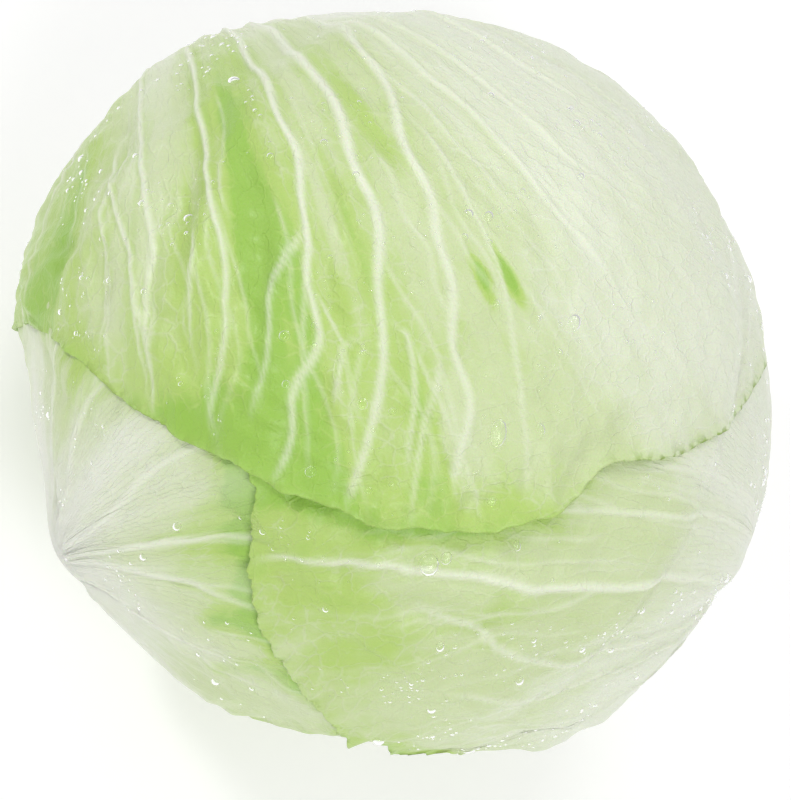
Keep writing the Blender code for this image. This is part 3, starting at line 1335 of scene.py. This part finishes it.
@dataclass(frozen=True)
class Studio:
    """A near-white floor, a bright even room, three soft lamps, and the camera.

    Attributes:
        away: From the middle of the head to the camera, in metres.
        bearing: Bearing of the camera.
        height_angle: Its height over the floor, in degrees.
        lens: Focal length, in millimetres.
        drop: How far below the middle of the head it aims, in millimetres.
        aside: How far to the right of the middle it aims, in millimetres.
    """

    away: float = 0.669
    bearing: float = 240.0
    height_angle: float = 65.0
    lens: float = 135.0
    drop: float = 3.2
    aside: float = 0.3

    def aim(self) -> tuple[Vector, Vector, Vector, Vector]:
        """The aimed point, and the directions to the camera, upwards and to the right.

        Returns:
            The four of them, in that order.
        """
        lean, turn = math.radians(90.0 - self.height_angle), math.radians(self.bearing)
        back = Vector((math.sin(lean) * math.cos(turn), math.sin(lean) * math.sin(turn), math.cos(lean)))
        north = Vector((0.0, 1.0, 0.0))
        up = (north - back * north.dot(back)).normalized()
        right = up.cross(back)
        middle = Vector((0.0, 0.0, FORM.middle_height * MM))
        return middle - up * self.drop * MM + right * self.aside * MM, back, up, right

    def place_camera(self) -> None:
        """Sets up the camera."""
        target, back, up, right = self.aim()
        camera = bpy.data.objects.new("camera", bpy.data.cameras.new("camera"))
        camera.data.lens, camera.data.sensor_width = self.lens, 36.0
        turn = Matrix((right, up, back)).transposed().to_4x4()
        camera.matrix_world = Matrix.Translation(target + back * self.away) @ turn
        bpy.context.scene.collection.objects.link(camera)
        bpy.context.scene.camera = camera

    def lamp(self, name: str, place: Vector, size: float, power: float) -> None:
        """Hangs a square soft lamp that faces the head.

        Args:
            name: The lamp's name.
            place: Where it hangs, in metres.
            size: Length of its side, in metres.
            power: Its power in watts.
        """
        light = bpy.data.lights.new(name, "AREA")
        light.size, light.energy = size, power
        made = bpy.data.objects.new(name, light)
        facing = Vector((0.0, 0.0, FORM.middle_height * MM)) - place
        made.matrix_world = Matrix.Translation(place) @ facing.to_track_quat("-Z", "Y").to_matrix().to_4x4()
        bpy.context.scene.collection.objects.link(made)

    def build(self) -> None:
        """Makes the floor, the lights and the camera."""
        self.place_camera()
        world = bpy.data.worlds.new("room")
        world.use_nodes = True
        room = next(node for node in world.node_tree.nodes if node.type == "BACKGROUND")
        room.inputs[0].default_value, room.inputs[1].default_value = (1.0, 1.0, 1.0, 1.0), 0.57
        bpy.context.scene.world = world
        self.lamp("front", Vector((0.12, -0.78, 1.0)), 0.45, 4.8)
        self.lamp("overhead", Vector((0.4, 0.7, 1.0)), 0.4, 2.6)
        self.lamp("glint", Vector((-0.6, 0.3, 0.8)), 0.13, 2.0)
        material = bpy.data.materials.new("floor")
        material.use_nodes = True
        shader = next(node for node in material.node_tree.nodes if node.type == "BSDF_PRINCIPLED")
        shader.inputs["Base Color"].default_value = (0.93, 0.93, 0.93, 1.0)
        shader.inputs["Roughness"].default_value = 0.8
        shader.inputs["Emission Color"].default_value = (1.0, 1.0, 1.0, 1.0)
        shader.inputs["Emission Strength"].default_value = 0.14
        corners = [(-4.0, -4.0, 0.0), (4.0, -4.0, 0.0), (4.0, 4.0, 0.0), (-4.0, 4.0, 0.0)]
        mesh = bpy.data.meshes.new("floor")
        mesh.from_pydata(corners, [], [(0, 1, 2, 3)])
        mesh.materials.append(material)
        floor = bpy.data.objects.new("floor", mesh)
        bpy.context.scene.collection.objects.link(floor)
        bpy.context.scene.view_settings.view_transform = "Standard"


class Head:
    """The whole cabbage head: seven leaves, the heart, the stem, and the drops on it.

    LARGE_DROPS holds the number of a leaf and then a drop's share, turn, radius and stretch.
    """

    LARGE_DROPS = (
        (1, (0.84, 5.1, 1.55, 1.35)), (1, (0.91, -3.5, 2.0, 1.6)), (1, (0.82, -17.0, 1.25, 1.1)),
        (1, (0.87, -12.2, 1.3, 1.1)), (1, (0.68, 1.6, 1.15, 1.1)), (1, (0.7, 3.3, 1.15, 1.2)),
        (1, (0.69, -25.1, 1.1, 1.5)), (1, (0.43, -16.8, 1.3, 1.4)), (1, (0.97, -16.1, 1.3, 1.1)),
        (1, (0.55, 13.1, 0.9, 1.2)), (1, (0.88, -17.2, 0.9, 1.1)), (1, (0.62, -31.3, 0.7, 1.2)),
        (1, (0.83, -28.9, 0.8, 1.1)), (1, (0.78, 0.1, 0.8, 1.1)), (1, (0.88, -10.1, 0.8, 1.2)),
        (1, (0.92, -0.6, 0.9, 1.5)), (1, (0.7, 0.0, 0.8, 1.1)), (1, (0.68, 14.5, 0.8, 1.3)),
        (1, (0.85, -6.6, 0.7, 1.2)), (1, (0.55, -8.9, 0.9, 1.1)), (1, (0.58, -15.0, 0.8, 1.1)),
        (2, (0.78, 26.2, 2.3, 1.1)), (2, (0.79, 33.4, 1.0, 1.3)), (2, (0.72, 38.5, 1.0, 1.2)),
        (2, (0.61, 36.7, 0.8, 1.2)), (2, (0.85, 39.6, 1.0, 1.2)), (2, (0.95, 43.2, 1.3, 1.2)),
        (2, (0.67, 24.8, 0.9, 1.4)), (2, (0.91, 28.9, 0.8, 1.1)), (2, (0.76, 25.9, 1.3, 1.2)),
        (3, (0.33, -20.5, 1.0, 1.3)), (3, (0.3, -27.0, 0.9, 1.2)), (3, (0.7, -56.4, 1.0, 1.2)),
    )

    def leaves(self) -> list[Leaf]:
        """The leaves from the outermost inwards, each knowing those that it lies on.

        Returns:
            The seven leaves.
        """
        hidden = ((44.0, 171.0), (60.0, 134.0), (84.0, 97.0), (112.0, 72.0), (146.0, 54.0), (180.0, 47.0))
        made: list[Leaf] = []
        for number, bearing in ((7, 32.0), (6, 166.0), (5, 300.0), (4, 74.0)):
            left = [(bearing - away, fall) for away, fall in hidden]
            right = [(bearing + away, fall) for away, fall in reversed(hidden[:-1])]
            made.append(Leaf(number, bearing, tuple(left + right), list(made)))
        made.append(self.lower_left(list(made)))
        made.append(self.lower_right(list(made)))
        made.append(self.over_crown(list(made)))
        for place, leaf in enumerate(made):
            leaf.above = made[place + 1:]
        return made[::-1]

    @staticmethod
    def over_crown(below: list[Leaf]) -> Leaf:
        """Leaf 1, which folds over the whole crown. Its veins fan out across it.

        Args:
            below: The leaves that it lies on.

        Returns:
            The leaf.
        """
        outline = (
            (70.0, 171.0), (148.0, 171.0), (158.0, 140.0), (170.0, 104.0), (178.0, 82.0), (189.0, 67.0),
            (203.0, 60.0), (219.0, 51.0), (234.0, 46.0), (262.0, 44.0), (292.0, 41.0), (309.0, 38.0),
            (328.0, 47.0), (353.0, 61.0), (20.0, 82.0), (48.0, 116.0),
        )
        veins = (
            Vein(((0.62, -36.0), (0.78, -31.0), (0.94, -28.6)), 1.0, 0.65),
            Vein(((0.3, -38.0), (0.46, -34.0), (0.61, -30.0), (0.76, -28.0), (0.99, -28.0)), 1.3, 0.7),
            Vein(((0.7, -24.5), (0.87, -24.6)), 0.8, 0.6),
            Vein(((0.3, -24.0), (0.46, -23.0), (0.6, -22.0), (0.84, -21.4), (0.97, -23.0)), 1.3, 0.8),
            Vein(
                ((0.15, -12.0), (0.31, -12.8), (0.55, -12.4), (0.68, -13.8), (0.76, -14.2), (0.82, -15.1),
                 (0.89, -16.7), (0.99, -18.4)), 1.45, 0.95,
            ),
            Vein(((0.66, -13.6), (0.76, -17.2), (0.83, -18.3), (0.93, -19.8)), 0.9, 0.5),
            Vein(
                ((0.1, -5.0), (0.3, -5.7), (0.53, -5.9), (0.62, -6.9), (0.7, -8.3), (0.77, -9.2),
                 (0.83, -10.3), (0.91, -11.9), (0.99, -14.1)), 1.7, 1.15,
            ),
            Vein(((0.78, -10.2), (0.81, -12.8), (0.88, -14.4)), 0.8, 0.45),
            Vein(((0.77, -9.2), (0.79, -7.7), (0.87, -8.5), (0.95, -10.2)), 0.9, 0.5),
            Vein(
                ((0.1, 6.0), (0.38, 4.7), (0.46, 2.8), (0.55, 0.0), (0.64, -1.0), (0.72, -2.6),
                 (0.81, -4.4), (0.86, -5.0), (0.96, -6.9)), 1.7, 1.1,
            ),
            Vein(((0.81, -4.9), (0.83, -6.0), (0.89, -8.3), (0.99, -10.0)), 0.8, 0.45),
            Vein(((0.3, 6.0), (0.45, 8.0), (0.58, 9.0), (0.67, 9.6), (0.74, 10.8), (0.85, 9.9)), 1.3, 0.7),
            Vein(((0.35, 11.0), (0.44, 12.9), (0.63, 15.0), (0.79, 18.4)), 1.2, 0.6),
            Vein(((0.35, 20.0), (0.6, 23.0), (0.86, 26.0)), 1.1, 0.65),
            Vein(((0.35, 27.0), (0.65, 30.0), (0.9, 33.0)), 1.1, 0.65),
            Vein(((0.3, 36.0), (0.6, 38.5), (0.9, 43.0)), 1.1, 0.6),
            Vein(((0.3, -52.0), (0.6, -50.0), (0.95, -47.0)), 1.1, 0.65),
            Vein(((0.55, 2.6), (0.7, 2.2), (0.8, 0.6), (0.97, -2.6)), 0.9, 0.45),
            Vein(((0.6, -33.5), (0.8, -33.8), (0.95, -33.0)), 0.8, 0.5),
        )
        creases = (
            Crease(((0.6, 7.5), (0.66, 6.5), (0.7, 5.9), (0.84, 1.7), (1.0, -1.7)), 1.1, 8.0),
            Crease(((0.5, -46.0), (0.62, -42.0), (0.78, -37.0), (0.94, -34.0)), 1.2, 7.0),
        )
        # The high values near turns -50 to -43, by the fold on the left, give the dark green strip of the
        # left facet: partly greener tissue, partly painted shade on that side.
        green = (
            (-75.0, 0.5), (-50.0, 0.7), (-43.0, 0.75), (-38.0, 0.45), (-30.0, 0.45), (-24.0, 0.55),
            (-17.0, 0.68), (-13.0, 0.45), (-4.0, 0.42), (1.0, 0.34), (6.0, 0.14), (14.0, 0.06),
            (40.0, 0.04), (80.0, 0.3),
        )
        patches = (
            Patch(0.6, -18.6, 0.14, 1.3, 0.75), Patch(0.72, -18.5, 0.06, 1.2, 0.6),
            Patch(0.77, -15.4, 0.12, 1.2, 0.4), Patch(0.89, -18.3, 0.05, 1.4, 0.3),
            Patch(0.78, -41.5, 0.16, 2.2, 0.3), Patch(0.75, -0.2, 0.025, 0.5, 0.7),
            Patch(0.77, 2.0, 0.035, 0.5, 0.75), Patch(0.97, -21.5, 0.06, 3.0, 0.35),
            Patch(0.99, -26.0, 0.03, 2.0, 0.3), Patch(0.89, -8.0, 0.05, 1.0, 0.25),
            Patch(0.96, -8.6, 0.03, 1.5, 0.2), Patch(0.96, -14.0, 0.05, 3.0, 0.2),
            Patch(0.66, -9.6, 0.1, 0.9, 0.25), Patch(0.51, -3.2, 0.08, 1.2, 0.2),
            Patch(0.66, 4.6, 0.12, 2.0, 0.12), Patch(0.8, -12.4, 0.1, 1.0, 0.22),
            Patch(0.55, -26.0, 0.08, 2.4, -0.25), Patch(0.62, -11.4, 0.1, 0.8, -0.25),
            Patch(0.9, -5.0, 0.05, 1.6, -0.2),
        )
        lift = (
            (-180.0, 0.0), (-40.0, 0.0), (-28.0, 0.0), (-23.0, 0.5), (-17.0, 1.3), (-4.0, 1.0), (2.0, 0.3),
            (30.0, 0.1), (180.0, 0.1),
        )
        border = ((-60.0, 0.1), (-30.0, 0.3), (-24.0, 0.5), (-8.0, 0.35), (2.0, 0.1), (60.0, 0.05))
        torn = ((-60.0, 0.3), (-29.0, 0.4), (-24.0, 0.2), (2.0, 0.1), (7.0, 0.6), (34.0, 0.8), (60.0, 0.4))
        # Painted shade that its lower margin lays on the leaves under it, strongest from bearing 222 to 262.
        cast_shade = (
            (170.0, 0.1), (215.0, 0.3), (222.0, 1.6), (262.0, 1.5), (280.0, 0.6), (300.0, 0.3),
            (350.0, 0.2),
        )
        return Leaf(
            1, 116.0, outline, below, veins, creases, green, Layer.OUTER, 0.5, lift, patches, border, torn,
            cast_shade, (10.0, 80.0),
        )

    @staticmethod
    def lower_right(below: list[Leaf]) -> Leaf:
        """Leaf 2, which shows below the first one's margin. Its veins run across it.

        Args:
            below: The leaves that it lies on.

        Returns:
            The leaf.
        """
        outline = (
            (310.0, 171.0), (22.0, 171.0), (48.0, 116.0), (82.0, 68.0), (120.0, 46.0), (162.0, 40.0),
            (200.0, 41.0), (224.0, 46.0), (231.0, 54.0), (238.0, 65.0), (250.0, 76.0), (258.0, 86.0),
            (272.0, 97.0), (286.0, 106.0), (300.0, 138.0),
        )
        veins = (
            Vein(((0.2, 8.0), (0.36, 10.3), (0.54, 15.7)), 1.3, 0.5),
            Vein(((0.2, 16.0), (0.54, 21.0), (0.7, 21.6)), 1.4, 0.6),
            Vein(
                ((0.3, 31.0), (0.45, 29.7), (0.65, 28.9), (0.75, 27.0), (0.88, 25.9), (0.99, 24.9)),
                1.5, 0.9,
            ),
            Vein(
                ((0.3, 42.0), (0.5, 40.6), (0.63, 38.7), (0.68, 36.9), (0.72, 34.9), (0.74, 32.0),
                 (0.8, 29.4)), 1.5, 1.0,
            ),
            Vein(((0.35, 46.0), (0.56, 44.3), (0.69, 43.0), (0.82, 37.7)), 1.3, 0.7),
            Vein(((0.35, 54.0), (0.6, 52.0), (0.85, 46.0)), 1.2, 0.6),
        )
        green = (
            (-60.0, 0.2), (0.0, 0.02), (12.0, 0.12), (18.0, 0.42), (28.0, 0.42), (34.0, 0.38), (40.0, 0.22),
            (46.0, 0.25), (60.0, 0.3), (90.0, 0.4),
        )
        patches = (
            Patch(0.93, 24.0, 0.1, 5.0, 0.15), Patch(0.88, 27.5, 0.06, 1.5, 0.2),
            Patch(0.92, 33.0, 0.08, 4.0, 0.12), Patch(0.9, 42.0, 0.1, 3.0, 0.15),
        )
        border = ((0.0, 0.1), (18.0, 0.15), (38.0, 0.1), (46.0, 0.5), (90.0, 0.5))
        torn = ((0.0, 0.0), (18.0, 0.1), (30.0, 0.25), (42.0, 0.4), (50.0, 0.7), (90.0, 0.5))
        lift = ((-180.0, 0.2), (10.0, 0.3), (24.0, 0.8), (50.0, 0.8), (90.0, 0.5), (180.0, 0.2))
        # The tuple after torn is painted shade that its edge lays on leaf 3, strongest from bearing 225 to
        # 250.
        return Leaf(
            2, 342.0, outline, below, veins, (), green, Layer.OUTER, 2.8, lift, patches, border, torn,
            ((0.0, 0.3), (225.0, 1.4), (250.0, 1.2), (265.0, 0.3)), (40.0, 80.0),
        )

    @staticmethod
    def lower_left(below: list[Leaf]) -> Leaf:
        """Leaf 3, whose white rib stands out at the lower left.

        Args:
            below: The leaves that it lies on.

        Returns:
            The leaf.
        """
        outline = (
            (166.0, 171.0), (226.0, 171.0), (238.0, 138.0), (246.0, 112.0), (254.0, 97.0), (266.0, 86.0),
            (286.0, 72.0), (310.0, 56.0), (28.0, 42.0), (80.0, 47.0), (116.0, 62.0), (142.0, 100.0),
        )
        veins = (
            Vein(((0.05, -27.0), (0.32, -23.2), (0.5, -25.3)), 1.7, 0.8),
            Vein(((0.05, -30.0), (0.24, -31.0), (0.39, -33.2), (0.54, -36.5)), 1.5, 0.7),
            Vein(((0.05, -15.0), (0.19, -13.0), (0.28, -6.0), (0.4, -6.0)), 1.7, 0.8),
            Vein(((0.05, 5.0), (0.16, 9.7), (0.25, 19.5), (0.36, 17.3)), 1.6, 0.7),
            Vein(((0.08, -45.0), (0.28, -48.0), (0.47, -51.0), (0.62, -47.0)), 1.5, 0.7),
            Vein(((0.08, 30.0), (0.3, 34.0), (0.6, 36.0)), 1.5, 0.6),
            Vein(((0.08, -62.0), (0.3, -66.0), (0.7, -70.0)), 1.4, 0.6),
        )
        green = (
            (-110.0, 0.6), (-70.0, 0.42), (-50.0, 0.32), (-36.0, 0.45), (-20.0, 0.42), (-8.0, 0.2),
            (5.0, 0.1), (20.0, 0.5), (60.0, 0.5), (100.0, 0.5),
        )
        # The narrow patches from share 0.42 to 0.575 run along leaf 2's ragged margin and give the dark band
        # there: partly deep green tissue, partly painted shade under that margin.
        patches = (
            Patch(0.42, -16.0, 0.04, 3.0, 0.8), Patch(0.455, -23.0, 0.035, 4.0, 0.85),
            Patch(0.505, -31.5, 0.035, 3.5, 0.8), Patch(0.575, -38.0, 0.05, 3.0, 0.7),
            Patch(0.49, -39.5, 0.03, 3.0, 0.4), Patch(0.64, -49.0, 0.04, 4.0, 0.4),
            Patch(0.74, -46.5, 0.08, 4.0, 0.35), Patch(0.38, -25.0, 0.08, 8.0, 0.15),
        )
        lift = ((-180.0, 0.3), (180.0, 0.3))
        return Leaf(
            3, 208.0, outline, below, veins, (), green, Layer.OUTER, 1.2, lift, patches, bloom=(14.0, 50.0)
        )

    def build(self) -> None:
        """Makes every piece, dresses it, hangs the new pieces on the root body, and hides the frame's parts
        that they replace.
        """
        Effects.build()
        outer = LeafFinish("outer_leaf_skin").make()
        inner = LeafFinish("wrapper_leaf_skin", fresh=(0.55, 0.69, 0.27, 1.0), cells=1.4).make()
        leaves = self.leaves()
        skins: dict[int, Surface] = {}
        for leaf in leaves:
            shows = leaf.layer is Layer.OUTER
            piece, skins[leaf.number] = leaf.build(outer if shows else inner)
            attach(piece, BODY)
            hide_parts(f"leaf_{leaf.number}")
            log.info("%s: %d points", piece.name, len(piece.data.vertices))
        self.build_dew(leaves, skins)
        stem = Stem().build(FleshFinish("cut_stem", cut=0.8).make())
        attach(stem, BODY)
        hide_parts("stem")
        log.info("%s: %d points", stem.name, len(stem.data.vertices))
        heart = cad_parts["heart"]
        packed = FleshFinish("packed_heart").make()
        for slot in heart.material_slots:
            slot.material = packed
        log.info("heart: dressed as packed leaves")

    def build_dew(self, leaves: list[Leaf], skins: dict[int, Surface]) -> None:
        """Sprinkles the outer leaves, and sets the few large drops at listed places.

        Args:
            leaves: The leaves from the outermost inwards.
            skins: The outside of each leaf by its number.
        """
        dew = Dew()
        first, second, third = leaves[:3]
        rows = [
            dew.sow(first, skins[1], [], 860, 5),
            dew.sow(second, skins[2], [first], 420, 6),
            dew.sow(third, skins[3], [first, second], 90, 7),
            *(dew.at(skins[number], *drop)[None] for number, drop in self.LARGE_DROPS),
        ]
        piece = dew.build("dew_drops", np.concatenate(rows), WaterFinish().make())
        piece.visible_shadow = piece.visible_diffuse = False
        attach(piece, BODY)
        log.info("%s: %d points", piece.name, len(piece.data.vertices))


def main() -> None:
    """Builds the studio and the head."""
    logging.basicConfig(level=logging.INFO, format="%(name)s: %(message)s")
    Studio().build()
    Head().build()
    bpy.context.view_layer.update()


if __name__ == "__main__":
    main()
